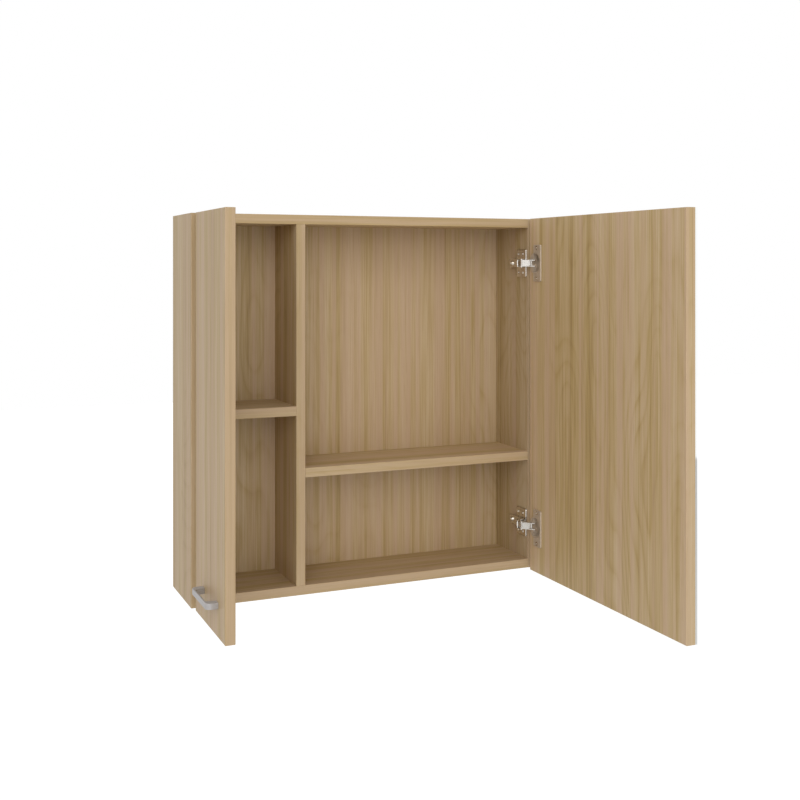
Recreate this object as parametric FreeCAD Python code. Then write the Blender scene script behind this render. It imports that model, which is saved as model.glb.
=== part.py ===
"""Wall-hung bathroom cabinet: board carcass, a plain door, a mirror door and four cup hinges.

The row frame: X to the right, Y into the wall, Z up. The origin lies on the wall plane, midway between
the two hanger holes. The doors stand open, as they do at rest.
"""
import FreeCAD, Part
import math
import os

V = FreeCAD.Vector

# Carcass boards
WIDTH = 600.0
HEIGHT = 600.0
DEPTH = 130.0
BOARD = 15.0
LEFT_BAY = 152.0             # clear width left of the divider
LEFT_SHELF_LEVEL = 283.0     # undersides of the shelves above the cabinet's underside
RIGHT_SHELF_LEVEL = 185.0
BACK_BOARD = 3.0
BACK_SETBACK = 13.0          # hollow behind the back panel
GROOVE_DEPTH = 6.0
GROOVE_END_GAP = 0.5
EDGE_ROUND = 0.8             # of the edge bands on boards and doors
PLAY = 0.1                   # free room of boards, dowels and screws in their cuts

# Fixings of the boards
DOWEL_RADIUS = 4.0
DOWEL_LENGTH = 30.0
DOWEL_IN_FACE = 10.0
DOWEL_FROM_FRONT = 30.0
HOLE_SPARE = 0.5
CAM_FROM_WALL = 42.0
CAM_DISTANCE = 24.0          # cam axis from the end of its board
CAM_RADIUS = 7.4
CAM_HEIGHT = 12.0
BOLT_THREAD_RADIUS = 3.0
BOLT_THREAD_LENGTH = 10.0
BOLT_STEM_RADIUS = 2.4
BOLT_HEAD_RADIUS = 3.4
BOLT_HEAD_LENGTH = 4.0
BOLT_ROOM = 0.4
DIVIDER_SCREW_FROM_WALL = 60.0
DIVIDER_SCREW_LENGTH = 50.0
DIVIDER_SCREW_HEAD_RADIUS = 5.0
DIVIDER_SCREW_HEAD_LENGTH = 4.0
DIVIDER_SCREW_SHANK_RADIUS = 3.5
DIVIDER_SCREW_THREAD_RADIUS = 2.7
RECESS_SLOT = 1.2            # width of the arms of a cross recess
RECESS_DEPTH = 1.4
RECESS_SHARE = 1.2           # length of those arms over the head's radius

# Wall hangers, let into the rear edges of the sides
HANGER_DROP = 45.0           # hanger holes below the cabinet's top
HANGER_PLATE_MARGIN = 1.0    # board left beside a hanger plate
HANGER_PLATE_THICKNESS = 2.0
HANGER_PLATE_BELOW = 26.0
HANGER_PLATE_ABOVE = 32.0
HANGER_HOLE_RADIUS = 4.5
HANGER_SLOT_WIDTH = 4.6
HANGER_SLOT_RISE = 12.0
HANGER_POCKET_DEPTH = 10.0
HANGER_POCKET_MARGIN = 0.6
HANGER_SCREW_RADIUS = 1.6
HANGER_SCREW_HEAD_RADIUS = 3.0
HANGER_SCREW_LENGTH = 22.0
HANGER_SCREW_END_DISTANCE = 7.0

# Doors
DOOR_GAP = 2.0               # between the carcass front and a closed door
DOOR_REVEAL = 0.5            # a door's hinge edge inside the carcass side
DOOR_SPLIT = 2.0             # between the two closed doors
MIRROR = 4.0
MIRROR_BEVEL = 0.6
OPEN_ANGLE = 90.0            # of both doors at rest

# Bow handle on the left door
HANDLE_SPACING = 80.0
HANDLE_LEVEL = 45.0
HANDLE_FROM_FREE_EDGE = 81.5
HANDLE_HEIGHT = 9.0
HANDLE_REACH = 17.5
HANDLE_BAR = 3.0
HANDLE_FOOT = 11.0           # length of each foot on the door
HANDLE_LEAN = 4.0            # how far the inner side of each leg leans
HANDLE_OUTER_ROUND = 8.0
HANDLE_INNER_ROUND = 4.0
HANDLE_SOFT_EDGE = 0.9
HANDLE_SCREW_RADIUS = 2.0
HANDLE_SCREW_GRIP = 8.0      # how far a screw goes into its leg
HANDLE_SCREW_HEAD_RADIUS = 4.0
HANDLE_SCREW_HEAD = 2.2

# Cup hinges. Their sizes are (u, v): u inward from the side's outer face, v forward of the carcass front,
# with the door closed. Heights w count from the hinge's middle.
HINGE_INSET = 76.0           # hinge middles from the top and the underside
ARM_FRONT_PIN_U = 32.8
ARM_FRONT_PIN_V = 8.6
ARM_REAR_PIN_U = 33.4
ARM_REAR_PIN_V = -3.6
CUP_INNER_PIN_U = 10.7
CUP_INNER_PIN_V = 4.8
CUP_EDGE_PIN_U = 6.6
CUP_EDGE_PIN_V = 2.8
ARM_PIN_RADIUS = 1.3
CUP_PIN_RADIUS = 1.1
PIN_SEAT = 0.03              # radial room of a pin in its fixed seat
PIN_RUN = 0.06               # radial room of a link's eye on its pin
CUP_TAB = 3.0                # board left between door edge and cup
CUP_RADIUS = 17.5
CUP_DEPTH = 11.5
CUP_WALL = 0.9
CUP_FLOOR = 0.8
CUP_RIM_LIP = 1.3
CUP_RIM = 1.2
EAR_END = 5.0                # ear beyond each of its screws
EAR_THICKNESS = 2.4
EAR_TO_EDGE = 5.0            # from the cup's middle towards the door's hinge edge
EAR_FROM_EDGE = 18.5         # and away from it
EAR_ROUND = 2.5
EAR_SOFT_EDGE = 0.6
LUG_REACH = 14.0             # how far in the pin lugs of the cup end
LUG_DEPTH = 5.2
CUP_PIN_SEAT_LENGTH = 1.8
CUP_SCREW_SPACING = 52.0
CUP_SCREW_OFFSET = 5.5
CUP_SCREW_RADIUS = 1.7
CUP_SCREW_HEAD_RADIUS = 3.4
CUP_SCREW_LENGTH = 13.0
ARM_INNER = 6.0              # half the width between the arm's cheeks
ARM_SHEET = 1.2
LINK_SHEET = 1.2
LINK_SIDE_GAP = 0.4          # front link inside the arm
REAR_LINK_SIDE_GAP = 0.8     # rear link inside the front link
LINK_EYE_RADIUS = 2.3
LINK_WEB = 1.1
LINK_WEB_TO_ARM = 1.6        # the front link's web stops this far from its arm pin
LINK_WEB_TO_CUP = 8.8        # and this far from its cup pin, where the rear link's hook passes
LINK_CHEEK_OFFSET = 0.4      # its cheeks keep clear of the line of the pins, where the edge pin passes
REAR_LINK_HALF_THICKNESS = 0.8
REAR_LINK_BEND_U = 21.0
REAR_LINK_BEND_V = 1.0
REAR_LINK_CREST_U = 13.4
REAR_LINK_CREST_V = 4.5
REAR_LINK_MOUTH = 2.0        # radius of the open hook over the cup's edge pin
REAR_LINK_HOOK = (42, 58, 74, 90)  # degrees round that pin, from the strap to the hook's tip
ARM_NOSE_RADIUS = 2.4
ARM_HEEL_RADIUS = 2.6
ARM_TOP = 23.0
ARM_WEB = 1.2
ARM_WEB_FRONT = -14.0        # where the web leaves the flat and climbs with the cheeks
ARM_RAMP = 9.0               # how far it climbs towards the pins
ARM_REAR = -52.0
ARM_FOOT_GAP = 0.4           # arm cheeks above the mounting plate's wings
ARM_END_ROUND = 2.0
ARM_BEND_ROUND = 3.0
WING_THICKNESS = 3.0
WING_END = 8.0               # wing beyond each of its screws
WING_FRONT = -2.5
WING_REAR = -35.0
WING_ROUND = 3.0
WING_SOFT_EDGE = 1.8
SADDLE_RISE = 5.0
SADDLE_FRONT = -6.0
SADDLE_REAR = -50.0
SADDLE_ROOM = 0.4            # saddle inside the arm's cheeks
PLATE_SCREW_SPACING = 32.0
PLATE_SCREW_BACK = -27.0
PLATE_SCREW_RADIUS = 2.4
PLATE_SCREW_HEAD_RADIUS = 3.9
PLATE_SCREW_LENGTH = 13.0
PLATE_BUMP_BACK = -13.5
PLATE_BUMP_RADIUS = 3.2
PLATE_BUMP_RISE = 0.9
FIXING_SCREW_BACK = -42.0
FIXING_SCREW_RADIUS = 2.4
FIXING_SCREW_HEAD_RADIUS = 3.9
FIXING_SCREW_HEAD = 2.0
ADJUSTER_BACK = -24.0
ADJUSTER_RADIUS = 2.9
ADJUSTER_PROUD = 0.8

# Derived places in the row frame
FLOOR = HANGER_DROP - HEIGHT
TOP = HANGER_DROP
FRONT = -DEPTH
LEFT, RIGHT = -WIDTH / 2, WIDTH / 2
INNER_LEFT, INNER_RIGHT = LEFT + BOARD, RIGHT - BOARD
DIVIDER_LEFT = INNER_LEFT + LEFT_BAY
DIVIDER_MIDDLE = DIVIDER_LEFT + BOARD / 2
BACK_FRONT = -BACK_SETBACK - BACK_BOARD
LEFT_DOOR_WIDTH = DIVIDER_MIDDLE - DOOR_SPLIT / 2 - LEFT - DOOR_REVEAL
RIGHT_DOOR_WIDTH = RIGHT - DOOR_REVEAL - DIVIDER_MIDDLE - DOOR_SPLIT / 2
HANGER_PLATE_WIDTH = BOARD - 2 * HANGER_PLATE_MARGIN
HINGE_LEVELS = (FLOOR + HINGE_INSET, TOP - HINGE_INSET)
ARM_FRONT_PIN = V(ARM_FRONT_PIN_U, ARM_FRONT_PIN_V, 0)
ARM_REAR_PIN = V(ARM_REAR_PIN_U, ARM_REAR_PIN_V, 0)
CUP_INNER_PIN = V(CUP_INNER_PIN_U, CUP_INNER_PIN_V, 0)
CUP_EDGE_PIN = V(CUP_EDGE_PIN_U, CUP_EDGE_PIN_V, 0)
REAR_LINK_BENDS = (V(REAR_LINK_BEND_U, REAR_LINK_BEND_V, 0), V(REAR_LINK_CREST_U, REAR_LINK_CREST_V, 0))
ARM_OUTER = ARM_INNER + ARM_SHEET
FRONT_LINK_OUTER = ARM_INNER - LINK_SIDE_GAP
FRONT_LINK_INNER = FRONT_LINK_OUTER - LINK_SHEET
REAR_LINK_HALF_WIDTH = FRONT_LINK_INNER - REAR_LINK_SIDE_GAP
CUP_PIN_HALF_LENGTH = ARM_INNER + CUP_PIN_SEAT_LENGTH
CUP_RIM_RADIUS = CUP_RADIUS + CUP_RIM_LIP
EAR_LENGTH = CUP_SCREW_SPACING + 2 * EAR_END
WING_LENGTH = PLATE_SCREW_SPACING + 2 * WING_END
CUP_MIDDLE = DOOR_REVEAL + CUP_TAB + CUP_RADIUS
SADDLE_TOP = BOARD + SADDLE_RISE
WING_TOP = BOARD + WING_THICKNESS
DOOR_FACE = DOOR_GAP + BOARD

X_AXIS, Y_AXIS, Z_AXIS = V(1, 0, 0), V(0, 1, 0), V(0, 0, 1)
TOUCH = 1e-6                 # places nearer than this are the same


# Basic forms

def block(x, y, z):
    """A box between pairs of coordinates."""
    return Part.makeBox(x[1] - x[0], y[1] - y[0], z[1] - z[0], V(x[0], y[0], z[0]))


def rod(radius, start, axis, length):
    """A round rod from start along axis."""
    return Part.makeCylinder(radius, length, start, axis)


def runs_along(edge, axis):
    """Whether a straight edge runs along an axis."""
    along = edge.Vertexes[-1].Point - edge.Vertexes[0].Point
    return along.Length > TOUCH and along.cross(axis).Length < TOUCH


def rounded(shape, axis, radius):
    """Rounds the straight edges that run along an axis."""
    return shape.makeFillet(radius, [edge for edge in shape.Edges if runs_along(edge, axis)])


def edges_at(shape, axis, value):
    """The edges whose ends lie in the plane at a value along an axis."""
    return [edge for edge in shape.Edges
            if all(abs(vertex.Point.dot(axis) - value) < TOUCH for vertex in edge.Vertexes)]


def cheek_pair(inner, outer):
    """The heights between which a pair of cheeks lies, below and above the middle."""
    return (-outer, -inner), (inner, outer)


def rounded_outline(corners):
    """A closed flat outline through (point, radius) corners, each rounded by an arc."""
    edges, starts, ends = [], [], []
    for i, (point, radius) in enumerate(corners):
        before = (corners[i - 1][0] - point).normalize()
        after = (corners[(i + 1) % len(corners)][0] - point).normalize()
        half = before.getAngle(after) / 2
        cut = radius / math.tan(half)
        starts.append(point + before * cut)
        ends.append(point + after * cut)
        if radius > 0:
            bisector = (before + after).normalize()
            crown = point + bisector * (radius / math.sin(half) - radius)
            edges.append(Part.Arc(starts[-1], crown, ends[-1]).toShape())
    for i, end in enumerate(ends):
        start = starts[(i + 1) % len(starts)]
        edges.append(Part.makeLine(end, start))
    return Part.Wire(Part.__sortEdges__(edges))


def slab(corners, low, high):
    """A flat outline in (u, v), between two heights."""
    face = Part.Face(rounded_outline(corners))
    face.translate(V(0, 0, low))
    return face.extrude(V(0, 0, high - low))


def stadium(start, end, radius, low, high):
    """A bar with round ends between two points in (u, v), between two heights."""
    along = (end - start).normalize()
    side = V(-along.y, along.x, 0) * radius
    bar = slab([(p, 0) for p in (start - side, end - side, end + side, start + side)], low, high)
    ends = [rod(radius, point + V(0, 0, low), Z_AXIS, high - low) for point in (start, end)]
    return bar.fuse(ends).removeSplitter()


def cross_recess(at, outward, head_radius):
    """The cut for a cross recess in a screw head, whose face lies at a point."""
    size = RECESS_SHARE * head_radius
    bars = []
    for long, wide in ((size, RECESS_SLOT), (RECESS_SLOT, size)):
        bar = Part.makeBox(long, wide, 2 * RECESS_DEPTH, V(-long / 2, -wide / 2, -RECESS_DEPTH))
        bars.append(bar)
    cross = bars[0].fuse(bars[1])
    cross.Placement = FreeCAD.Placement(at, FreeCAD.Rotation(Z_AXIS, outward))
    return cross


def flat_head_screw(at, axis, length, radius, head_radius, room=0.0):
    """A countersunk screw whose head face lies at a point, or its hole where room is given."""
    head_length = head_radius - radius
    head = Part.makeCone(head_radius + room, radius + room, head_length, at, axis)
    shank = rod(radius + room, at + axis * head_length, axis, length - head_length + room)
    screw = head.fuse(shank).removeSplitter()
    if room:
        return screw
    return screw.cut(cross_recess(at, axis * -1, head_radius))


# Places of the hinge's pins with the door open

def turned(vector, degrees):
    """A flat vector turned about the upright axis."""
    angle = math.radians(degrees)
    cos, sin = math.cos(angle), math.sin(angle)
    return V(cos * vector.x - sin * vector.y, sin * vector.x + cos * vector.y, 0)


def open_inner_pin():
    """The cup's inner pin with the door open: both links keep their lengths."""
    offset = turned(CUP_EDGE_PIN - CUP_INNER_PIN, OPEN_ANGLE)
    second = ARM_REAR_PIN - offset
    front_length = (CUP_INNER_PIN - ARM_FRONT_PIN).Length
    rear_length = (CUP_EDGE_PIN - ARM_REAR_PIN).Length
    span = second - ARM_FRONT_PIN
    along = (front_length ** 2 - rear_length ** 2 + span.Length ** 2) / (2 * span.Length)
    across = math.sqrt(front_length ** 2 - along ** 2)
    span.normalize()
    sides = [ARM_FRONT_PIN + span * along + V(-span.y, span.x, 0) * a for a in (across, -across)]
    return max(sides, key=lambda point: point.y)


OPEN_INNER_PIN = open_inner_pin()
OPEN_EDGE_PIN = OPEN_INNER_PIN + turned(CUP_EDGE_PIN - CUP_INNER_PIN, OPEN_ANGLE)


def swung(shape):
    """Moves a piece of the door from its closed place to its open one."""
    turn = FreeCAD.Rotation(Z_AXIS, OPEN_ANGLE)
    shift = OPEN_INNER_PIN - turn.multVec(CUP_INNER_PIN)
    moved = shape.copy()
    moved.Placement = FreeCAD.Placement(shift, turn).multiply(shape.Placement)
    return moved


def on_right(shape, level):
    """Places a piece made in (u, v, w) on the right side, at a level."""
    moved = shape.copy()
    half_turn = FreeCAD.Rotation(Z_AXIS, 180)
    moved.Placement = FreeCAD.Placement(V(RIGHT, FRONT, level), half_turn).multiply(shape.Placement)
    return moved


def on_side(shapes, side, level):
    """Places pieces made in (u, v, w) on the left or right side."""
    placed = [on_right(shape, level) for shape in shapes]
    if side == "left":
        placed = [shape.mirror(V(0, 0, 0), X_AXIS) for shape in placed]
    return placed


# Fixings between boards, and the cuts that they need

nodes = {}
cuts = {}


def add(node, *shapes):
    nodes.setdefault(node, []).extend(shapes)


def cut_from(boards, *shapes):
    for board in boards:
        cuts.setdefault(board, []).extend(shapes)


def dowel(boards, at, axis):
    """A dowel through the plane where two boards meet."""
    start = at - axis * DOWEL_IN_FACE
    add("dowels", rod(DOWEL_RADIUS, start, axis, DOWEL_LENGTH))
    hole_start = start - axis * HOLE_SPARE
    cut_from(boards, rod(DOWEL_RADIUS + PLAY, hole_start, axis, DOWEL_LENGTH + 2 * HOLE_SPARE))


def cam_fixing(upright, board, at, axis, cam_up):
    """A cam bolt in an upright's face, and the cam lock that grips it in the end of a board."""
    head_start = at + axis * (CAM_DISTANCE - BOLT_HEAD_LENGTH / 2)
    thread_start = at - axis * BOLT_THREAD_LENGTH
    thread = rod(BOLT_THREAD_RADIUS, thread_start, axis, BOLT_THREAD_LENGTH)
    stem = rod(BOLT_STEM_RADIUS, at, axis, CAM_DISTANCE - BOLT_HEAD_LENGTH / 2)
    head = rod(BOLT_HEAD_RADIUS, head_start, axis, BOLT_HEAD_LENGTH)
    add("cam_bolts", thread.fuse([stem, head]).removeSplitter())
    cut_from([upright], rod(BOLT_THREAD_RADIUS + PLAY, thread_start - axis * HOLE_SPARE, axis,
                            BOLT_THREAD_LENGTH + HOLE_SPARE))
    passage_length = CAM_DISTANCE + BOLT_HEAD_LENGTH / 2 + BOLT_ROOM
    passage = rod(BOLT_HEAD_RADIUS + BOLT_ROOM, at, axis, passage_length)
    up = V(0, 0, cam_up)
    face = at + axis * CAM_DISTANCE + up * (BOARD / 2)
    lock = rod(CAM_RADIUS, face - up * CAM_HEIGHT, up, CAM_HEIGHT)
    add("cam_locks", lock.cut([passage, cross_recess(face, up, CAM_RADIUS)]))
    pocket = rod(CAM_RADIUS + PLAY, face - up * (CAM_HEIGHT + HOLE_SPARE), up, CAM_HEIGHT + HOLE_SPARE)
    cut_from([board], passage, pocket)


def board_end(upright, board, x, inward, middle, cam_up):
    """Fixes the end of a level board to an upright."""
    axis = V(inward, 0, 0)
    dowel([upright, board], V(x, FRONT + DOWEL_FROM_FRONT, middle), axis)
    cam_fixing(upright, board, V(x, -CAM_FROM_WALL, middle), axis, cam_up)


def divider_end(board, outer_level, inward):
    """Fixes the divider's end with a long screw through the top or bottom panel, and a dowel."""
    axis = V(0, 0, inward)
    face = V(DIVIDER_MIDDLE, -DIVIDER_SCREW_FROM_WALL, outer_level)
    thread_at = face + axis * BOARD

    def screw(room):
        head = rod(DIVIDER_SCREW_HEAD_RADIUS + room, face, axis, DIVIDER_SCREW_HEAD_LENGTH)
        shank = rod(DIVIDER_SCREW_SHANK_RADIUS + room, face, axis, BOARD)
        thread_length = DIVIDER_SCREW_LENGTH - BOARD + room
        thread = rod(DIVIDER_SCREW_THREAD_RADIUS + room, thread_at, axis, thread_length)
        return head.fuse([shank, thread]).removeSplitter()

    add("divider_screws", screw(0).cut(cross_recess(face, axis * -1, DIVIDER_SCREW_HEAD_RADIUS)))
    cut_from([board, "divider_panel"], screw(PLAY))
    dowel([board, "divider_panel"], V(DIVIDER_MIDDLE, FRONT + DOWEL_FROM_FRONT, thread_at.z), axis)


def board_fixings():
    """All the fixings that hold the carcass boards together."""
    half = BOARD / 2
    left_shelf = FLOOR + LEFT_SHELF_LEVEL + half
    right_shelf = FLOOR + RIGHT_SHELF_LEVEL + half
    divider_right = DIVIDER_LEFT + BOARD
    board_end("left_side_panel", "top_panel", INNER_LEFT, 1, TOP - half, 1)
    board_end("right_side_panel", "top_panel", INNER_RIGHT, -1, TOP - half, 1)
    board_end("left_side_panel", "bottom_panel", INNER_LEFT, 1, FLOOR + half, -1)
    board_end("right_side_panel", "bottom_panel", INNER_RIGHT, -1, FLOOR + half, -1)
    board_end("left_side_panel", "left_shelf", INNER_LEFT, 1, left_shelf, -1)
    board_end("divider_panel", "left_shelf", DIVIDER_LEFT, -1, left_shelf, -1)
    board_end("divider_panel", "right_shelf", divider_right, 1, right_shelf, -1)
    board_end("right_side_panel", "right_shelf", INNER_RIGHT, -1, right_shelf, -1)
    divider_end("top_panel", TOP, -1)
    divider_end("bottom_panel", FLOOR, 1)


# Wall hangers

def hanger(board, x):
    """A keyhole plate flush in a side's rear edge, with a pocket for the wall screw's head behind it."""
    half = HANGER_PLATE_WIDTH / 2
    thickness = (-HANGER_PLATE_THICKNESS, 0)
    plate = block((x - half, x + half), thickness, (-HANGER_PLATE_BELOW, HANGER_PLATE_ABOVE))
    inward = V(0, -1, 0)
    entry = rod(HANGER_HOLE_RADIUS, V(x, 0, 0), inward, HANGER_PLATE_THICKNESS)
    half_slot = HANGER_SLOT_WIDTH / 2
    rise = HANGER_SLOT_RISE
    slot = block((x - half_slot, x + half_slot), thickness, (0, rise))
    slot_end = rod(half_slot, V(x, 0, rise), inward, HANGER_PLATE_THICKNESS)
    lower_screw = HANGER_SCREW_END_DISTANCE - HANGER_PLATE_BELOW
    upper_screw = HANGER_PLATE_ABOVE - HANGER_SCREW_END_DISTANCE
    holes = []
    for level in (lower_screw, upper_screw):
        sizes = (V(x, 0, level), inward, HANGER_SCREW_LENGTH, HANGER_SCREW_RADIUS, HANGER_SCREW_HEAD_RADIUS)
        add("hanger_screws", flat_head_screw(*sizes))
        holes.append(flat_head_screw(*sizes, room=PLAY))
    add("hanger_plates", plate.cut([entry, slot, slot_end] + holes))
    recess = block((x - half - PLAY, x + half + PLAY), thickness,
                   (-HANGER_PLATE_BELOW - PLAY, HANGER_PLATE_ABOVE + PLAY))
    pocket_radius = HANGER_HOLE_RADIUS + HANGER_POCKET_MARGIN
    pocket = block((x - pocket_radius, x + pocket_radius), (-HANGER_POCKET_DEPTH, 0),
                   (-pocket_radius, rise + pocket_radius))
    cut_from([board], recess, rounded(pocket, Y_AXIS, pocket_radius / 2), *holes)


# Hinge pieces in (u, v, w)

def mounting_plate():
    """Cross plate on the side: two wings and a raised saddle that the arm straddles."""
    half = WING_LENGTH / 2
    wings = rounded(block((BOARD, WING_TOP), (WING_REAR, WING_FRONT), (-half, half)), X_AXIS, WING_ROUND)
    wings = wings.makeFillet(WING_SOFT_EDGE, edges_at(wings, X_AXIS, WING_TOP))
    saddle_half = ARM_INNER - SADDLE_ROOM
    saddle = block((BOARD, SADDLE_TOP), (SADDLE_REAR, SADDLE_FRONT), (-saddle_half, saddle_half))
    plate = wings.fuse(saddle)
    bumps = []
    holes = [rod(FIXING_SCREW_RADIUS + PIN_SEAT, V(BOARD, FIXING_SCREW_BACK, 0), X_AXIS, SADDLE_RISE)]
    for w in (-PLATE_SCREW_SPACING / 2, PLATE_SCREW_SPACING / 2):
        bump_at = V(WING_TOP, PLATE_BUMP_BACK, w)
        top_radius = PLATE_BUMP_RADIUS - PLATE_BUMP_RISE
        bumps.append(Part.makeCone(PLATE_BUMP_RADIUS, top_radius, PLATE_BUMP_RISE, bump_at, X_AXIS))
        holes.append(plate_screw(w, PLAY))
    return plate.fuse(bumps).cut(holes).removeSplitter()


def plate_screw(w, room=0.0):
    """A screw of the mounting plate in the side panel, or its hole."""
    at = V(WING_TOP, PLATE_SCREW_BACK, w)
    return flat_head_screw(at, X_AXIS * -1, PLATE_SCREW_LENGTH, PLATE_SCREW_RADIUS,
                           PLATE_SCREW_HEAD_RADIUS, room)


def plate_screws(room=0.0):
    return [plate_screw(w, room) for w in (-PLATE_SCREW_SPACING / 2, PLATE_SCREW_SPACING / 2)]


def arm_web(heel):
    """The arm's web: flat over the saddle, then climbing with the cheeks towards the pins."""
    rear = ARM_REAR + ARM_END_ROUND
    bend = V(ARM_TOP, ARM_WEB_FRONT, 0)
    climb = (V(heel, ARM_REAR_PIN.y - ARM_HEEL_RADIUS, 0) - bend).normalize()
    climb_end = bend + climb * ARM_RAMP
    flat_inward, climb_inward = V(-1, 0, 0), V(-climb.y, climb.x, 0)
    mitre = (flat_inward + climb_inward) * (ARM_WEB / (1 + flat_inward.dot(climb_inward)))
    corners = [V(ARM_TOP, rear, 0), bend, climb_end, climb_end + climb_inward * ARM_WEB, bend + mitre,
               V(ARM_TOP - ARM_WEB, rear, 0)]
    return slab([(corner, 0) for corner in corners], -ARM_OUTER, ARM_OUTER)


def hinge_arm():
    """Pressed channel: two cheeks that carry the pins, and a web over the saddle."""
    foot = WING_TOP + ARM_FOOT_GAP
    nose_inner = ARM_FRONT_PIN.x - ARM_NOSE_RADIUS
    nose_outer = ARM_FRONT_PIN.x + ARM_NOSE_RADIUS
    heel = ARM_REAR_PIN.x + ARM_HEEL_RADIUS
    profile = [
        (V(foot, ARM_REAR, 0), ARM_END_ROUND),
        (V(foot, WING_FRONT + ARM_REAR_PIN.y, 0), ARM_BEND_ROUND),
        (V(nose_inner, ARM_REAR_PIN.y + ARM_HEEL_RADIUS, 0), ARM_BEND_ROUND),
        (V(nose_inner, ARM_FRONT_PIN.y, 0), 0),
        (V(nose_outer, ARM_FRONT_PIN.y, 0), 0),
        (V(nose_outer, ARM_REAR_PIN.y + ARM_HEEL_RADIUS, 0), 0),
        (V(heel, ARM_REAR_PIN.y, 0), 0),
        (V(heel, ARM_REAR_PIN.y - ARM_HEEL_RADIUS, 0), ARM_END_ROUND),
        (V(ARM_TOP, ARM_WEB_FRONT, 0), ARM_BEND_ROUND),
        (V(ARM_TOP, ARM_REAR, 0), ARM_END_ROUND),
    ]
    cheeks = []
    for low, high in cheek_pair(ARM_INNER, ARM_OUTER):
        nose = rod(ARM_NOSE_RADIUS, ARM_FRONT_PIN + V(0, 0, low), Z_AXIS, high - low)
        cheeks.append(slab(profile, low, high).fuse(nose))
    arm = cheeks[0].fuse([cheeks[1], arm_web(heel)]).removeSplitter()
    holes = [rod(ARM_PIN_RADIUS + PIN_SEAT, pin - Z_AXIS * ARM_OUTER, Z_AXIS, 2 * ARM_OUTER)
             for pin in (ARM_FRONT_PIN, ARM_REAR_PIN)]
    for radius, back in ((FIXING_SCREW_RADIUS, FIXING_SCREW_BACK), (ADJUSTER_RADIUS, ADJUSTER_BACK)):
        holes.append(rod(radius + PLAY, V(ARM_TOP - ARM_WEB, back, 0), X_AXIS, ARM_WEB))
    return arm.cut(holes)


def arm_pins():
    """The two pins that the links turn on in the arm."""
    return [rod(ARM_PIN_RADIUS, pin - Z_AXIS * ARM_OUTER, Z_AXIS, 2 * ARM_OUTER)
            for pin in (ARM_FRONT_PIN, ARM_REAR_PIN)]


def arm_screws():
    """The screw that holds the arm to its plate, and the headless screw that sets the door sideways."""
    fixing_shank = rod(FIXING_SCREW_RADIUS, V(BOARD, FIXING_SCREW_BACK, 0), X_AXIS, ARM_TOP - BOARD)
    fixing_head = rod(FIXING_SCREW_HEAD_RADIUS, V(ARM_TOP, FIXING_SCREW_BACK, 0), X_AXIS, FIXING_SCREW_HEAD)
    fixing_face = V(ARM_TOP + FIXING_SCREW_HEAD, FIXING_SCREW_BACK, 0)
    fixing = fixing_shank.fuse(fixing_head).removeSplitter()
    fixing = fixing.cut(cross_recess(fixing_face, X_AXIS, FIXING_SCREW_HEAD_RADIUS))
    adjuster_length = ARM_TOP + ADJUSTER_PROUD - SADDLE_TOP
    adjuster = rod(ADJUSTER_RADIUS, V(SADDLE_TOP, ADJUSTER_BACK, 0), X_AXIS, adjuster_length)
    adjuster_face = V(ARM_TOP + ADJUSTER_PROUD, ADJUSTER_BACK, 0)
    adjuster = adjuster.cut(cross_recess(adjuster_face, X_AXIS, ADJUSTER_RADIUS))
    return [fixing, adjuster]


def front_link():
    """The wide link that shows when the door is open: two cheeks with eyes, and a web between them."""
    start, end = ARM_FRONT_PIN, OPEN_INNER_PIN
    along = (end - start).normalize()
    outer = V(along.y, -along.x, 0)

    def bar(first_inset, last_inset, inside, low, high):
        first, last = start + along * first_inset, end - along * last_inset
        near, far = outer * inside, outer * LINK_EYE_RADIUS
        return slab([(p, 0) for p in (first + near, last + near, last + far, first + far)], low, high)

    web_inside = LINK_EYE_RADIUS - LINK_WEB
    pieces = [bar(LINK_WEB_TO_ARM, LINK_WEB_TO_CUP, web_inside, -FRONT_LINK_OUTER, FRONT_LINK_OUTER)]
    for low, high in cheek_pair(FRONT_LINK_INNER, FRONT_LINK_OUTER):
        pieces.append(bar(0, 0, LINK_CHEEK_OFFSET, low, high))
        pieces.extend(rod(LINK_EYE_RADIUS, pin + Z_AXIS * low, Z_AXIS, high - low) for pin in (start, end))
    link = pieces[0].fuse(pieces[1:]).removeSplitter()
    eyes = [rod(radius + PIN_RUN, pin - Z_AXIS * FRONT_LINK_OUTER, Z_AXIS, 2 * FRONT_LINK_OUTER)
            for pin, radius in ((start, ARM_PIN_RADIUS), (end, CUP_PIN_RADIUS))]
    return link.cut(eyes)


def rear_link():
    """The narrow bent link. It ends in an open hook over the cup's edge pin: the links turn at constant
    ratios, so that pin shifts a little in the hook while the door swings."""
    low, high = -REAR_LINK_HALF_WIDTH, REAR_LINK_HALF_WIDTH
    hook_reach = V(REAR_LINK_MOUTH + REAR_LINK_HALF_THICKNESS, 0, 0)
    hook = [CUP_EDGE_PIN + turned(hook_reach, degrees) for degrees in REAR_LINK_HOOK]
    route = [ARM_REAR_PIN, *REAR_LINK_BENDS, *hook]
    strap = [stadium(a, b, REAR_LINK_HALF_THICKNESS, low, high) for a, b in zip(route, route[1:])]
    eye = rod(LINK_EYE_RADIUS, ARM_REAR_PIN + V(0, 0, low), Z_AXIS, high - low)
    link = eye.fuse(strap).removeSplitter()
    bore = rod(ARM_PIN_RADIUS + PIN_RUN, ARM_REAR_PIN + V(0, 0, low), Z_AXIS, high - low)
    mouth = rod(REAR_LINK_MOUTH, CUP_EDGE_PIN + V(0, 0, low), Z_AXIS, high - low)
    link = link.cut([bore, mouth])
    closed, opened = CUP_EDGE_PIN - ARM_REAR_PIN, OPEN_EDGE_PIN - ARM_REAR_PIN
    turn = math.degrees(math.atan2(opened.y, opened.x) - math.atan2(closed.y, closed.x))
    link.rotate(ARM_REAR_PIN, Z_AXIS, turn)
    return link


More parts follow.
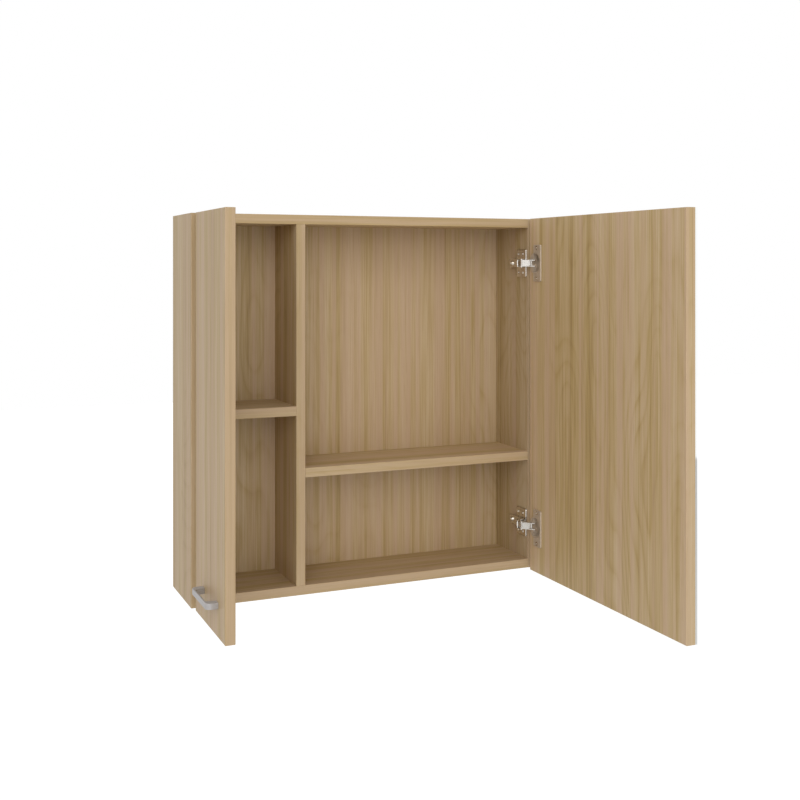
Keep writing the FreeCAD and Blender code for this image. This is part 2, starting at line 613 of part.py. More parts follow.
def cup():
    """Pressed cup with a rim, two screw ears and two lugs that hold the pins."""
    axis_point = V(CUP_MIDDLE, DOOR_GAP, 0)
    bowl = rod(CUP_RADIUS, axis_point, Y_AXIS, CUP_DEPTH)
    rim = rod(CUP_RIM_RADIUS, axis_point, Y_AXIS * -1, CUP_RIM)
    half = EAR_LENGTH / 2
    ears = block((CUP_MIDDLE - EAR_TO_EDGE, CUP_MIDDLE + EAR_FROM_EDGE), (DOOR_GAP - EAR_THICKNESS, DOOR_GAP),
                 (-half, half))
    ears = rounded(ears, Y_AXIS, EAR_ROUND)
    ears = ears.makeFillet(EAR_SOFT_EDGE, edges_at(ears, Y_AXIS, DOOR_GAP - EAR_THICKNESS))
    inner_radius = CUP_RADIUS - CUP_WALL
    hollow_start = axis_point - Y_AXIS * EAR_THICKNESS
    hollow = rod(inner_radius, hollow_start, Y_AXIS, EAR_THICKNESS + CUP_DEPTH - CUP_FLOOR)
    shell = bowl.fuse([rim, ears]).cut(hollow)
    lug_height = (DOOR_GAP - CUP_RIM, DOOR_GAP + LUG_DEPTH)
    within_wall = rod(inner_radius + CUP_WALL / 2, axis_point - Y_AXIS * CUP_RIM, Y_AXIS, CUP_RIM + LUG_DEPTH)
    lugs = []
    for low, high in cheek_pair(ARM_INNER, CUP_RADIUS):
        lug = block((CUP_MIDDLE - CUP_RADIUS, LUG_REACH), lug_height, (low, high))
        lugs.append(lug.common(within_wall))
    whole = shell.fuse(lugs).removeSplitter()
    seat_radius = CUP_PIN_RADIUS + PIN_SEAT
    seats = [rod(seat_radius, pin - Z_AXIS * CUP_PIN_HALF_LENGTH, Z_AXIS, 2 * CUP_PIN_HALF_LENGTH)
             for pin in (CUP_INNER_PIN, CUP_EDGE_PIN)]
    return whole.cut(seats + cup_screws(PLAY))


def cup_pins():
    """A through pin at the cup's edge, and two stub pins for the front link's cheeks."""
    edge = rod(CUP_PIN_RADIUS, CUP_EDGE_PIN - Z_AXIS * CUP_PIN_HALF_LENGTH, Z_AXIS, 2 * CUP_PIN_HALF_LENGTH)
    stub_length = CUP_PIN_HALF_LENGTH - FRONT_LINK_INNER
    stubs = [rod(CUP_PIN_RADIUS, CUP_INNER_PIN + Z_AXIS * start, Z_AXIS, stub_length)
             for start in (-CUP_PIN_HALF_LENGTH, FRONT_LINK_INNER)]
    return [edge, *stubs]


def cup_screws(room=0.0):
    """The two screws that hold a cup to its door, or their holes."""
    face = DOOR_GAP - EAR_THICKNESS
    return [flat_head_screw(V(CUP_MIDDLE + CUP_SCREW_OFFSET, face, w), Y_AXIS, CUP_SCREW_LENGTH,
                            CUP_SCREW_RADIUS, CUP_SCREW_HEAD_RADIUS, room)
            for w in (-CUP_SCREW_SPACING / 2, CUP_SCREW_SPACING / 2)]


def cup_pocket():
    """The cuts in a door for one cup and its screws."""
    bore = rod(CUP_RADIUS + PLAY, V(CUP_MIDDLE, DOOR_GAP, 0), Y_AXIS, CUP_DEPTH + PLAY)
    return [bore, *cup_screws(PLAY)]


def hinges(side):
    """Both hinges of one door, and the screw holes in the side panel."""
    for level in HINGE_LEVELS:
        add(f"{side}_hinge_plates", *on_side([mounting_plate()], side, level))
        add(f"{side}_hinge_plate_screws", *on_side(plate_screws(), side, level))
        add(f"{side}_hinge_arms", *on_side([hinge_arm()], side, level))
        add(f"{side}_hinge_arm_screws", *on_side(arm_screws(), side, level))
        add(f"{side}_hinge_arm_pins", *on_side(arm_pins(), side, level))
        add(f"{side}_hinge_front_links", *on_side([front_link()], side, level))
        add(f"{side}_hinge_rear_links", *on_side([rear_link()], side, level))
        add(f"{side}_hinge_cups", *on_side([swung(cup())], side, level))
        add(f"{side}_hinge_cup_pins", *on_side([swung(pin) for pin in cup_pins()], side, level))
        add(f"{side}_hinge_cup_screws", *on_side([swung(screw) for screw in cup_screws()], side, level))
        cut_from([f"{side}_side_panel"], *on_side(plate_screws(PLAY), side, level))


# Doors, made closed in (u, v) and swung open

def door_panel(side, width, bare_faces, extra_cuts):
    """A door board with soft edges round its bare faces and the pockets for its two cups."""
    panel = block((DOOR_REVEAL, DOOR_REVEAL + width), (DOOR_GAP, DOOR_FACE), (FLOOR, TOP))
    bare_edges = [edge for face in bare_faces for edge in edges_at(panel, Y_AXIS, face)]
    panel = panel.makeFillet(EDGE_ROUND, bare_edges)
    pockets = []
    for level in HINGE_LEVELS:
        for pocket in cup_pocket():
            pocket.translate(V(0, 0, level))
            pockets.append(pocket)
    add(f"{side}_door_panel", *on_side([swung(panel.cut(pockets + extra_cuts))], side, 0))


def mirror_plate():
    """The mirror bonded to the right door's outer face, with ground edges."""
    front = DOOR_FACE + MIRROR
    plate = block((DOOR_REVEAL, DOOR_REVEAL + RIGHT_DOOR_WIDTH), (DOOR_FACE, front), (FLOOR, TOP))
    plate = plate.makeChamfer(MIRROR_BEVEL, edges_at(plate, Y_AXIS, front))
    add("mirror_plate", *on_side([swung(plate)], "right", 0))


def handle_middle():
    """The middle of the handle, on the closed left door's outer face."""
    return V(DOOR_REVEAL + LEFT_DOOR_WIDTH - HANDLE_FROM_FREE_EDGE, DOOR_FACE, FLOOR + HANDLE_LEVEL)


def handle_screw_places():
    middle = handle_middle()
    return [middle + X_AXIS * side * HANDLE_SPACING / 2 for side in (-1, 1)]


def handle_screw_shank(at, room=0.0):
    """A handle screw's shank through the door and into the handle's leg, or its hole."""
    length = BOARD + HANDLE_SCREW_GRIP
    return rod(HANDLE_SCREW_RADIUS + room, at - Y_AXIS * BOARD, Y_AXIS, length + room)


def handle():
    """Bow handle: a flat bar on two legs that thicken toward it."""
    middle = handle_middle()
    foot_end = HANDLE_SPACING / 2 + HANDLE_FOOT / 2
    foot_start = HANDLE_SPACING / 2 - HANDLE_FOOT / 2
    half = HANDLE_HEIGHT / 2

    def bow_outline(base, bar, reach, round_radius):
        corners = [(V(-base, 0, 0), 0), (V(base, 0, 0), 0)]
        corners += [(V(end, reach, 0), round_radius) for end in (bar, -bar)]
        return slab(corners, -half, half)

    outside = bow_outline(foot_end, foot_end, HANDLE_REACH, HANDLE_OUTER_ROUND)
    inner_reach = HANDLE_REACH - HANDLE_BAR
    inside = bow_outline(foot_start, foot_start - HANDLE_LEAN, inner_reach, HANDLE_INNER_ROUND)
    bow = outside.cut(inside)
    rims = edges_at(bow, Z_AXIS, half) + edges_at(bow, Z_AXIS, -half)
    off_door = [edge for edge in rims if any(vertex.Y > TOUCH for vertex in edge.Vertexes)]
    bow = bow.makeFillet(HANDLE_SOFT_EDGE, off_door)
    bow.translate(middle)
    bow = bow.cut([handle_screw_shank(at, PLAY) for at in handle_screw_places()])
    add("door_handle", *on_side([swung(bow)], "left", 0))


def handle_screws():
    """The two screws that hold the handle from the door's inner face."""
    for at in handle_screw_places():
        face = at - Y_AXIS * BOARD
        head = rod(HANDLE_SCREW_HEAD_RADIUS, face - Y_AXIS * HANDLE_SCREW_HEAD, Y_AXIS, HANDLE_SCREW_HEAD)
        screw = handle_screw_shank(at).fuse(head).removeSplitter()
        recess = cross_recess(face - Y_AXIS * HANDLE_SCREW_HEAD, Y_AXIS * -1, HANDLE_SCREW_HEAD_RADIUS)
        add("handle_screws", *on_side([swung(screw.cut(recess))], "left", 0))


def doors():
    handle_holes = [handle_screw_shank(at, PLAY) for at in handle_screw_places()]
    door_panel("left", LEFT_DOOR_WIDTH, (DOOR_GAP, DOOR_FACE), handle_holes)
    door_panel("right", RIGHT_DOOR_WIDTH, (DOOR_GAP,), [])
    mirror_plate()
    handle()
    handle_screws()


# Carcass boards, with the cuts that the fixings and hinges asked for

def back_groove():
    """The groove round the carcass that the back panel slides into."""
    reach = GROOVE_DEPTH
    return block((INNER_LEFT - reach, INNER_RIGHT + reach), (BACK_FRONT - PLAY, -BACK_SETBACK + PLAY),
                 (FLOOR + BOARD - reach, TOP - BOARD + reach))


def banded(board, axis):
    """Softens the two long front edges of a carcass board, which carry its edge band."""
    front_edges = [edge for edge in edges_at(board, Y_AXIS, FRONT) if runs_along(edge, axis)]
    return board.makeFillet(EDGE_ROUND, front_edges)


def carcass():
    inner_floor, inner_top = FLOOR + BOARD, TOP - BOARD
    divider_right = DIVIDER_LEFT + BOARD
    left_shelf = FLOOR + LEFT_SHELF_LEVEL
    right_shelf = FLOOR + RIGHT_SHELF_LEVEL
    full_depth, shelf_depth = (FRONT, 0), (FRONT, BACK_FRONT - PLAY)
    uprights = {
        "left_side_panel": block((LEFT, INNER_LEFT), full_depth, (FLOOR, TOP)),
        "right_side_panel": block((INNER_RIGHT, RIGHT), full_depth, (FLOOR, TOP)),
        "divider_panel": block((DIVIDER_LEFT, divider_right), shelf_depth, (inner_floor, inner_top)),
    }
    levels = {
        "top_panel": block((INNER_LEFT, INNER_RIGHT), full_depth, (inner_top, TOP)),
        "bottom_panel": block((INNER_LEFT, INNER_RIGHT), full_depth, (FLOOR, inner_floor)),
        "left_shelf": block((INNER_LEFT, DIVIDER_LEFT), shelf_depth, (left_shelf, left_shelf + BOARD)),
        "right_shelf": block((divider_right, INNER_RIGHT), shelf_depth, (right_shelf, right_shelf + BOARD)),
    }
    cut_from(["left_side_panel", "right_side_panel", "top_panel", "bottom_panel"], back_groove())
    for boards, axis in ((uprights, Z_AXIS), (levels, X_AXIS)):
        for name, board in boards.items():
            add(name, banded(board, axis).cut(cuts[name]))
    reach = GROOVE_DEPTH - GROOVE_END_GAP
    add("back_panel", block((INNER_LEFT - reach, INNER_RIGHT + reach), (BACK_FRONT, -BACK_SETBACK),
                            (inner_floor - reach, inner_top + reach)))


board_fixings()
hanger("left_side_panel", LEFT + BOARD / 2)
hanger("right_side_panel", RIGHT - BOARD / 2)
hinges("left")
hinges("right")
doors()
carcass()

os.makedirs("parts", exist_ok=True)
for node, shapes in nodes.items():
    solids = [solid for shape in shapes for solid in shape.Solids]
    whole = solids[0] if len(solids) == 1 else Part.makeCompound(solids)
    whole.exportStep(f"parts/{node}.step")
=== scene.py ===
import math

import bpy
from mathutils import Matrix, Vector


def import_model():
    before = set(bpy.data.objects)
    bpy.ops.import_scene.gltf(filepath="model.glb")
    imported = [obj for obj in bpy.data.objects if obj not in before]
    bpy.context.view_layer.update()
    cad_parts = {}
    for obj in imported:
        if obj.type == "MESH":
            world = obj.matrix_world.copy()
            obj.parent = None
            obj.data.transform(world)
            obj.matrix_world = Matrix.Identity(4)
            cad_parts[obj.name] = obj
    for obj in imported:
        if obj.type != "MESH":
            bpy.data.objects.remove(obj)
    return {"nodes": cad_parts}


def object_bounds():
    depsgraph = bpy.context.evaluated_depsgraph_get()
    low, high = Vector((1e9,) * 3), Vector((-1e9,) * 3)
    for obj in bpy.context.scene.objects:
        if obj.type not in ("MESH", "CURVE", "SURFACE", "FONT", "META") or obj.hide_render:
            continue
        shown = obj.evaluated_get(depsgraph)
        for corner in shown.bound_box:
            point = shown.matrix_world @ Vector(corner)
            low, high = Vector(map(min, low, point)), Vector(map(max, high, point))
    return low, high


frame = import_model()
cad_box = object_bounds()
nodes = frame["nodes"]

# Camera, level, at the photograph's place (metres)
CAMERA_PLACE = (-0.6903, -1.8230, -0.0353)
CAMERA_YAW = math.radians(23.472)
IMAGE_SIZE = 800
FOCAL_PIXELS = 1127.2
HORIZON_ROW = 265.7          # picture row of the horizon
SENSOR_MM = 36.0

# Floor and light
FLOOR_DROP = 0.80            # floor below the cabinet's underside
FLOOR_FRONT = -5.6           # its front end, which the mirror's edge reflects
FLOOR_BACK = 9.0
FLOOR_HALF_WIDTH = 9.0
FLOOR_COLOUR = (0.82, 0.82, 0.81, 1.0)
FLOOR_DUST = (0.78, 0.78, 0.77, 1.0)
FLOOR_DUST_SCALE = 40.0
FLOOR_ROUGHNESS = 0.9
LIFT_START = -2.3            # from here back, the floor is lifted towards white
LIFT_NEAR = (-1.2, 0.40)     # place and strength of the lift
LIFT_FAR = (4.0, 0.58)
AMBIENT = 0.64
LAMP_TARGET = (0.0, -0.1, -0.25)
KEY_LAMP = {"place": (-1.7, -3.2, 1.5), "size": 2.6, "power": 50.0}
FILL_LAMP = {"place": (-0.2, -3.4, -0.3), "size": 2.7, "power": 18.0}
WHITE = (1.0, 1.0, 1.0, 1.0)

# Sockets of the mix node when it mixes colours
MIX_FACTOR = 0
MIX_FIRST = 6
MIX_SECOND = 7
MIX_RESULT = 2


def srgb(red, green, blue):
    """A colour of the screen as the linear colour that shaders use, by the standard curve."""
    def linear(value):
        share = value / 255
        return share / 12.92 if share <= 0.04045 else ((share + 0.055) / 1.055) ** 2.4
    return (linear(red), linear(green), linear(blue), 1.0)


def grey(value):
    """A linear grey."""
    return (value, value, value, 1.0)


def painted_light_on(colour, share):
    """A colour scaled by a share, which paints light or shade onto a board's colours."""
    return (*(channel * share for channel in colour[:3]), 1.0)


# Small helpers for node trees

class Tree:
    """A material's node tree, with short calls for the nodes that the materials share."""

    def __init__(self, name):
        self.material = bpy.data.materials.new(name)
        self.material.use_nodes = True
        self.nodes = self.material.node_tree.nodes
        self.links = self.material.node_tree.links
        self.shader = self.nodes["Principled BSDF"]
        self.coordinates = self.nodes.new("ShaderNodeTexCoord")

    def feed(self, socket, value):
        """Sets a socket to a value, or links it to another node's output."""
        if isinstance(value, bpy.types.NodeSocket):
            self.links.new(value, socket)
        else:
            socket.default_value = value

    def math(self, operation, *values):
        """One step of arithmetic."""
        node = self.nodes.new("ShaderNodeMath")
        node.operation = operation
        for socket, value in zip(node.inputs, values):
            self.feed(socket, value)
        return node.outputs[0]

    def stretched(self, scale, offset=(0.0, 0.0, 0.0)):
        """Object coordinates, scaled along each axis and moved."""
        node = self.nodes.new("ShaderNodeMapping")
        node.inputs["Scale"].default_value = scale
        node.inputs["Location"].default_value = offset
        self.links.new(self.coordinates.outputs["Object"], node.inputs["Vector"])
        return node.outputs[0]

    def even(self, scale):
        """Object coordinates, scaled alike along all axes."""
        return self.stretched((scale, scale, scale))

    def noise(self, vector, detail=2.0, roughness=0.5):
        """Soft noise that averages about a half."""
        node = self.nodes.new("ShaderNodeTexNoise")
        self.links.new(vector, node.inputs["Vector"])
        node.inputs["Scale"].default_value = 1.0
        node.inputs["Detail"].default_value = detail
        node.inputs["Roughness"].default_value = roughness
        return node.outputs["Fac"]

    def ramp(self, fac, stops):
        """A colour ramp through (position, colour) stops."""
        node = self.nodes.new("ShaderNodeValToRGB")
        elements = node.color_ramp.elements
        while len(elements) < len(stops):
            elements.new(0.5)    # its place is set below
        for element, (position, colour) in zip(elements, stops):
            element.position = position
            element.color = colour
        self.links.new(fac, node.inputs["Fac"])
        return node.outputs["Color"]

    def levels(self, value, low, high, new_low=0.0, new_high=1.0):
        """Maps a range of values onto another, held at its ends."""
        node = self.nodes.new("ShaderNodeMapRange")
        self.links.new(value, node.inputs["Value"])
        node.inputs["From Min"].default_value = low
        node.inputs["From Max"].default_value = high
        node.inputs["To Min"].default_value = new_low
        node.inputs["To Max"].default_value = new_high
        return node.outputs["Result"]

    def total(self, start, parts):
        """A start value plus each part times its weight."""
        for value, weight in parts:
            start = self.math("MULTIPLY_ADD", value, weight, start)
        return start

    def mix(self, fac, first, second):
        """The first colour at factor 0, the second at factor 1."""
        node = self.nodes.new("ShaderNodeMix")
        node.data_type = "RGBA"
        self.feed(node.inputs[MIX_FACTOR], fac)
        self.feed(node.inputs[MIX_FIRST], first)
        self.feed(node.inputs[MIX_SECOND], second)
        return node.outputs[MIX_RESULT]

    def facing(self, axis):
        """How squarely the surface faces an axis of its piece, from -1 to 1."""
        node = self.nodes.new("ShaderNodeVectorMath")
        node.operation = "DOT_PRODUCT"
        self.links.new(self.coordinates.outputs["Normal"], node.inputs[0])
        node.inputs[1].default_value = axis
        return node.outputs["Value"]

    def bump(self, height, strength, distance):
        """Fine relief on the shader's normal."""
        node = self.nodes.new("ShaderNodeBump")
        self.links.new(height, node.inputs["Height"])
        node.inputs["Strength"].default_value = strength
        node.inputs["Distance"].default_value = distance
        self.links.new(node.outputs["Normal"], self.shader.inputs["Normal"])

    def surface(self, **values):
        """Feeds the shader's sockets by name, with _ for a space."""
        for name, value in values.items():
            self.feed(self.shader.inputs[name.replace("_", " ")], value)


def dress(material, *names):
    """Gives a material to CAD nodes."""
    for name in names:
        data = nodes[name].data
        data.materials.clear()
        data.materials.append(material)


# Wood

OAK_DARK = srgb(146, 118, 76)
OAK_OLIVE = srgb(180, 154, 105)
OAK_MIDDLE = srgb(194, 169, 130)
OAK_PALE = srgb(209, 188, 156)
OAK_PINK = srgb(197, 168, 141)
OAK_BAND = srgb(180, 156, 121)
OAK_STOPS = ((0.12, OAK_DARK), (0.4, OAK_OLIVE), (0.56, OAK_MIDDLE), (0.85, OAK_PALE))
SEED_SHIFT = (1.7, 2.3, 3.1)         # how far one step of the seed moves the figure
MIDDLE_TONE = 0.5
RING_COUNT = 36.0                    # growth rings over the whole range of the flame's noise
RING_PROFILE = [(0.0, grey(0.0)), (0.10, grey(0.55)), (0.35, grey(0.8)), (0.75, grey(0.6)), (1.0, grey(0.0))]
RING_MEAN = 0.55
FRONT = (0.0, -1.0, 0.0)
BAND_LINES = (300.0, 3.0, 300.0)     # scale of the lines on the boards' end bands
BEECH_DARK = srgb(186, 146, 102)
BEECH_PALE = srgb(214, 178, 134)
BEECH_FLECKS = 900.0

# The boards' looks: grain axis, seed of the figure, strength of its flames, and a share of light painted
# into its colours: painted shade below 1, painted light above 1, set board by board for how light falls on
# it
BOARD_LOOKS = {
    "left_side_panel": dict(grain="Z", seed=1.0, flame=0.12, painted_light_share=0.90),
    "right_side_panel": dict(grain="Z", seed=2.0, flame=0.15, painted_light_share=0.80),
    "divider_panel": dict(grain="Z", seed=3.0, flame=0.1, painted_light_share=0.90),
    "back_panel": dict(grain="Z", seed=4.0, flame=0.18, painted_light_share=0.89, contrast=0.9, banded=False),
    "left_door_panel": dict(grain="Z", seed=5.0, flame=0.2, painted_light_share=0.91, contrast=1.05),
    "right_door_panel": dict(grain="Z", seed=6.0, flame=0.2, painted_light_share=1.02, contrast=0.92),
    "top_panel": dict(grain="X", seed=7.0, flame=0.1, painted_light_share=0.98),
    "bottom_panel": dict(grain="X", seed=8.0, flame=0.1, painted_light_share=0.88),
    "left_shelf": dict(grain="X", seed=9.0, flame=0.1, painted_light_share=0.88),
    "right_shelf": dict(grain="X", seed=10.0, flame=0.1, painted_light_share=0.94),
}


def edge_bands(tree, colour, grain, shift, painted_light_share):
    """Calmer bands on the edge that faces the front at rest, and on the ends of the grain."""
    front = tree.levels(tree.facing(FRONT), low=0.6, high=0.9, new_high=0.4)
    colour = tree.mix(front, colour, OAK_BAND)
    end = tree.math("ABSOLUTE", tree.facing([float(axis == grain) for axis in "XYZ"]))
    lines = tree.noise(tree.stretched(BAND_LINES, shift))
    # The end bands' colours carry the board's painted light or shade.
    band = tree.ramp(lines, [(0.3, painted_light_on(OAK_BAND, painted_light_share)), (0.7, painted_light_on(OAK_MIDDLE, painted_light_share))])
    return tree.mix(tree.levels(end, low=0.6, high=0.9), colour, band)


def oak(name, grain, seed, flame, painted_light_share, contrast=1.0, banded=True):
    """Light oak decor: straight streaks along the grain, flame figure in places, and drifting hues."""
    tree = Tree(name)
    shift = [seed * step for step in SEED_SHIFT]

    def grain_noise(across, along, detail, roughness=0.5):
        scale = [along if axis == grain else across for axis in "XYZ"]
        return tree.noise(tree.stretched(scale, shift), detail, roughness)

    broad = grain_noise(across=15.0, along=0.4, detail=2.0)
    bands = grain_noise(across=46.0, along=0.7, detail=3.0, roughness=0.55)
    streaks = grain_noise(across=150.0, along=1.8, detail=3.0, roughness=0.6)
    fine = grain_noise(across=460.0, along=7.0, detail=2.0)
    pores = grain_noise(across=1100.0, along=26.0, detail=2.0)
    slope = grain_noise(across=6.0, along=1.3, detail=2.0, roughness=0.4)
    rings = tree.ramp(tree.math("FRACT", tree.math("MULTIPLY", slope, RING_COUNT)), RING_PROFILE)
    patches = grain_noise(across=5.0, along=0.5, detail=1.0)
    flamed = tree.levels(patches, low=0.42, high=0.58, new_high=flame)
    flame_tone = tree.math("MULTIPLY", tree.math("SUBTRACT", rings, RING_MEAN), flamed)

    # The noises average a half, so the start takes half of their weights off again
    shares = ((broad, 0.40), (bands, 0.60), (streaks, 0.48), (fine, 0.66))
    weights = [(layer, share * contrast) for layer, share in shares]
    start = MIDDLE_TONE - sum(weight for _, weight in weights) / 2
    tone = tree.total(start, [*weights, (flame_tone, 1.0)])
    # Each stop's colour is darkened or lightened by the board's painted light or shade.
    colour = tree.ramp(tone, [(position, painted_light_on(hue, painted_light_share)) for position, hue in OAK_STOPS])

    hue_drift = grain_noise(across=70.0, along=0.6, detail=2.0)
    pinkish = tree.levels(hue_drift, low=0.46, high=0.62, new_high=0.65)
    # The pink drift carries the board's painted light or shade too.
    colour = tree.mix(pinkish, colour, painted_light_on(OAK_PINK, painted_light_share))
    pore_marks = tree.levels(pores, low=0.30, high=0.42, new_low=0.2, new_high=0.0)
    colour = tree.mix(pore_marks, colour, OAK_DARK)
    if banded:
        colour = edge_bands(tree, colour, grain, shift, painted_light_share)
    roughness = tree.levels(streaks, low=0.3, high=0.7, new_low=0.44, new_high=0.58)
    tree.surface(Base_Color=colour, Roughness=roughness, Specular_IOR_Level=0.3)
    tree.bump(tree.math("ADD", pores, streaks), strength=0.12, distance=0.0002)
    return tree.material


def beech():
    """Plain beech of the dowels, with fine flecks."""
    tree = Tree("beech")
    flecks = tree.noise(tree.even(BEECH_FLECKS), detail=3.0)
    colour = tree.ramp(flecks, [(0.35, BEECH_DARK), (0.65, BEECH_PALE)])
    roughness = tree.levels(flecks, low=0.3, high=0.7, new_low=0.55, new_high=0.7)
    tree.surface(Base_Color=colour, Roughness=roughness)
    tree.bump(flecks, strength=0.2, distance=0.0002)
    return tree.material


def wood_pieces():
    """Boards of oak decor, each with a figure of its own, and beech dowels."""
    for node, look in BOARD_LOOKS.items():
        dress(oak("oak_" + node.removesuffix("_panel"), **look), node)
    dress(beech(), "dowels")


# Metal

NICKEL = srgb(226, 222, 216)
NICKEL_DULL = srgb(206, 200, 192)
PRESSED = srgb(208, 194, 176)
PRESSED_DULL = srgb(192, 178, 160)
ZINC = srgb(188, 192, 196)
ZINC_DULL = srgb(160, 166, 172)
SATIN = srgb(179, 176, 175)
SATIN_DULL = srgb(163, 160, 159)
SATIN_METALLIC = 0.6                     # a matt finish, partly diffuse
HINGE_CLOUDS = 160.0                     # scale of the cloudy patches on hinges
FIXING_CLOUDS = 240.0                    # and on fixings
MARK_STRETCH = 9                         # rolling marks are this much longer than wide
BRUSH_LINES = (2600.0, 60.0, 2600.0)     # scale of the brush lines along the handle's bar
HINGE_PIECES = ("plates", "plate_screws", "arms", "arm_screws", "arm_pins", "front_links", "rear_links",
                "cup_pins", "cup_screws")
FIXINGS = ("cam_locks", "cam_bolts", "divider_screws", "hanger_plates", "hanger_screws", "handle_screws")


def plated(name, colour, dull, smooth, rough, scale, metallic=1.0):
    """Plated steel: a metal with cloudy patches of gloss and faint rolling marks."""
    tree = Tree(name)
    clouds = tree.noise(tree.even(scale), detail=3.0)
    marks = tree.noise(tree.stretched((scale * MARK_STRETCH, scale * MARK_STRETCH, scale)))
    tint = tree.mix(tree.levels(clouds, low=0.35, high=0.7), colour, dull)
    roughness = tree.levels(clouds, low=0.3, high=0.7, new_low=smooth, new_high=rough)
    tree.surface(Base_Color=tint, Metallic=metallic, Roughness=roughness)
    tree.bump(marks, strength=0.06, distance=0.0001)
    return tree.material


def satin(name, colour, dull):
    """Satin nickel with brush lines along the handle's bar."""
    tree = Tree(name)
    lines = tree.noise(tree.stretched(BRUSH_LINES), detail=3.0, roughness=0.6)
    tint = tree.mix(tree.levels(lines, low=0.3, high=0.7, new_high=0.5), colour, dull)
    roughness = tree.levels(lines, low=0.3, high=0.7, new_low=0.46, new_high=0.6)
    tree.surface(Base_Color=tint, Metallic=SATIN_METALLIC, Roughness=roughness)
    tree.bump(lines, strength=0.08, distance=0.0001)
    return tree.material


def metal_pieces():
    """Bright hinges with matt pressed cups, zinc fixings and the satin handle."""
    nickel = plated("nickel", NICKEL, NICKEL_DULL, smooth=0.12, rough=0.26, scale=HINGE_CLOUDS)
    pressed = plated("pressed_nickel", PRESSED, PRESSED_DULL, smooth=0.42, rough=0.55,
                     scale=HINGE_CLOUDS, metallic=SATIN_METALLIC)
    zinc = plated("zinc", ZINC, ZINC_DULL, smooth=0.3, rough=0.5, scale=FIXING_CLOUDS)
    for side in ("left", "right"):
        dress(nickel, *(f"{side}_hinge_{piece}" for piece in HINGE_PIECES))
        dress(pressed, f"{side}_hinge_cups")
    dress(zinc, *FIXINGS)
    dress(satin("satin_nickel", SATIN, SATIN_DULL), "door_handle")


# Mirror

MIRROR_FACE = srgb(220, 225, 223)
MIRROR_EDGE_DULL = srgb(246, 249, 247)
MIRROR_EDGE = srgb(252, 253, 252)
MIRROR_AXIS = (1.0, 0.0, 0.0)            # square to the plate's wide faces at rest
EDGE_SPECKS = 1500.0
EDGE_ROUGHNESS = 0.01
FACE_HAZE = 5.0
FACE_ROUGHNESS = 0.015


def mirror():
    """Silvered glass: a clear mirror on its wide face, and polished edges."""
    tree = Tree("mirror")
    wide = tree.math("ABSOLUTE", tree.facing(MIRROR_AXIS))
    edge = tree.levels(wide, low=0.95, high=0.99, new_low=1.0, new_high=0.0)
    specks = tree.noise(tree.even(EDGE_SPECKS))
    haze = tree.noise(tree.even(FACE_HAZE), detail=3.0)
    edge_colour = tree.ramp(specks, [(0.3, MIRROR_EDGE_DULL), (0.7, MIRROR_EDGE)])
    colour = tree.mix(edge, MIRROR_FACE, edge_colour)
    face_roughness = tree.levels(haze, low=0.3, high=0.8, new_high=FACE_ROUGHNESS)
    roughness = tree.math("MULTIPLY_ADD", edge, EDGE_ROUGHNESS, face_roughness)
    tree.surface(Base_Color=colour, Metallic=1.0, Roughness=roughness)
    tree.bump(tree.math("MULTIPLY", specks, edge), strength=0.02, distance=0.0001)
    return tree.material


# Floor, light and camera

def background_rays(tree_nodes, links):
    """1 for the rays that show the background itself: seen, mirrored or through glass."""
    path = tree_nodes.new("ShaderNodeLightPath")
    total = path.outputs["Is Camera Ray"]
    for ray in ("Is Glossy Ray", "Is Transmission Ray"):
        node = tree_nodes.new("ShaderNodeMath")
        node.operation = "MAXIMUM"
        links.new(total, node.inputs[0])
        links.new(path.outputs[ray], node.inputs[1])
        total = node.outputs[0]
    return total


def world():
    """White where it is seen, and a plain soft light elsewhere."""
    studio = bpy.data.worlds.new("studio")
    bpy.context.scene.world = studio
    studio.use_nodes = True
    tree_nodes = studio.node_tree.nodes
    links = studio.node_tree.links
    strength = tree_nodes.new("ShaderNodeMapRange")
    links.new(background_rays(tree_nodes, links), strength.inputs["Value"])
    strength.inputs["To Min"].default_value = AMBIENT
    strength.inputs["To Max"].default_value = 1.0
    background = tree_nodes["Background"]
    background.inputs["Color"].default_value = WHITE
    links.new(strength.outputs["Result"], background.inputs["Strength"])


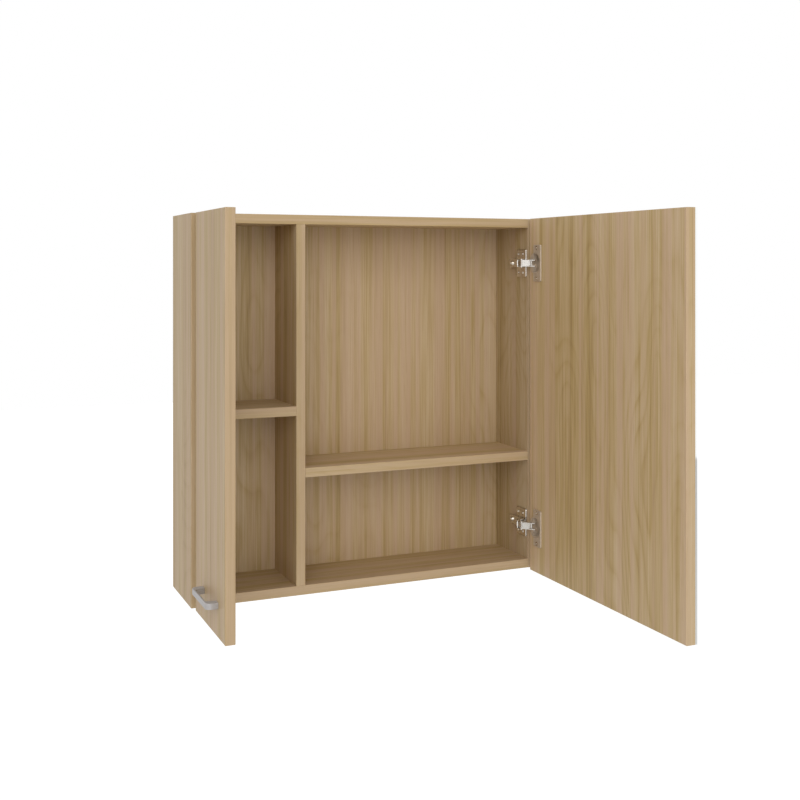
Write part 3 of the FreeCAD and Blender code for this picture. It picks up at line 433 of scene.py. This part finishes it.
def floor_paint():
    """Pale paint. From some way before the cabinet back, it is lifted towards white where it is seen."""
    tree = Tree("floor_paint")
    dust = tree.noise(tree.even(FLOOR_DUST_SCALE), detail=3.0)
    colour = tree.mix(tree.levels(dust, low=0.3, high=0.7), FLOOR_COLOUR, FLOOR_DUST)
    axes = tree.nodes.new("ShaderNodeSeparateXYZ")
    tree.links.new(tree.coordinates.outputs["Object"], axes.inputs[0])
    near_place, near_lift = LIFT_NEAR
    far_place, far_lift = LIFT_FAR
    near_share = (near_place - LIFT_START) / (far_place - LIFT_START)
    depth = tree.levels(axes.outputs["Y"], low=LIFT_START, high=far_place)
    lift = tree.ramp(depth, [(0.0, grey(0.0)), (near_share, grey(near_lift)), (1.0, grey(far_lift))])
    seen_lift = tree.math("MULTIPLY", lift, background_rays(tree.nodes, tree.links))
    tree.surface(Base_Color=colour, Roughness=FLOOR_ROUGHNESS)
    tree.surface(Emission_Color=WHITE, Emission_Strength=seen_lift)
    return tree.material


def floor():
    """A plain level sheet below the cabinet."""
    level = cad_box[0][2] - FLOOR_DROP
    corners = [(side * FLOOR_HALF_WIDTH, end, level)
               for side, end in ((-1, FLOOR_FRONT), (1, FLOOR_FRONT), (1, FLOOR_BACK), (-1, FLOOR_BACK))]
    mesh = bpy.data.meshes.new("floor")
    mesh.from_pydata(corners, [], [(0, 1, 2, 3)])
    mesh.materials.append(floor_paint())
    plane = bpy.data.objects.new("floor", mesh)
    bpy.context.scene.collection.objects.link(plane)


def area_light(name, place, size, power):
    """A soft square lamp that looks at the cabinet."""
    data = bpy.data.lights.new(name, "AREA")
    data.shape = "SQUARE"
    data.size = size
    data.energy = power
    lamp = bpy.data.objects.new(name, data)
    lamp.location = place
    aim = Vector(LAMP_TARGET) - Vector(place)
    lamp.rotation_euler = aim.to_track_quat("-Z", "Y").to_euler()
    bpy.context.scene.collection.objects.link(lamp)


def lamps():
    """A key lamp from the upper left, and a fill lamp from the front."""
    area_light("key", **KEY_LAMP)
    area_light("fill", **FILL_LAMP)


def camera():
    """The photograph's camera, with the shift that its horizon needs."""
    data = bpy.data.cameras.new("camera")
    data.sensor_fit = "HORIZONTAL"
    data.sensor_width = SENSOR_MM
    data.lens = FOCAL_PIXELS / IMAGE_SIZE * SENSOR_MM
    data.shift_y = (HORIZON_ROW - IMAGE_SIZE / 2) / IMAGE_SIZE
    eye = bpy.data.objects.new("camera", data)
    eye.location = CAMERA_PLACE
    eye.rotation_euler = (math.pi / 2, 0.0, -CAMERA_YAW)
    bpy.context.scene.collection.objects.link(eye)
    bpy.context.scene.camera = eye


bpy.context.scene.view_settings.view_transform = "Standard"
wood_pieces()
metal_pieces()
dress(mirror(), "mirror_plate")
world()
floor()
lamps()
camera()
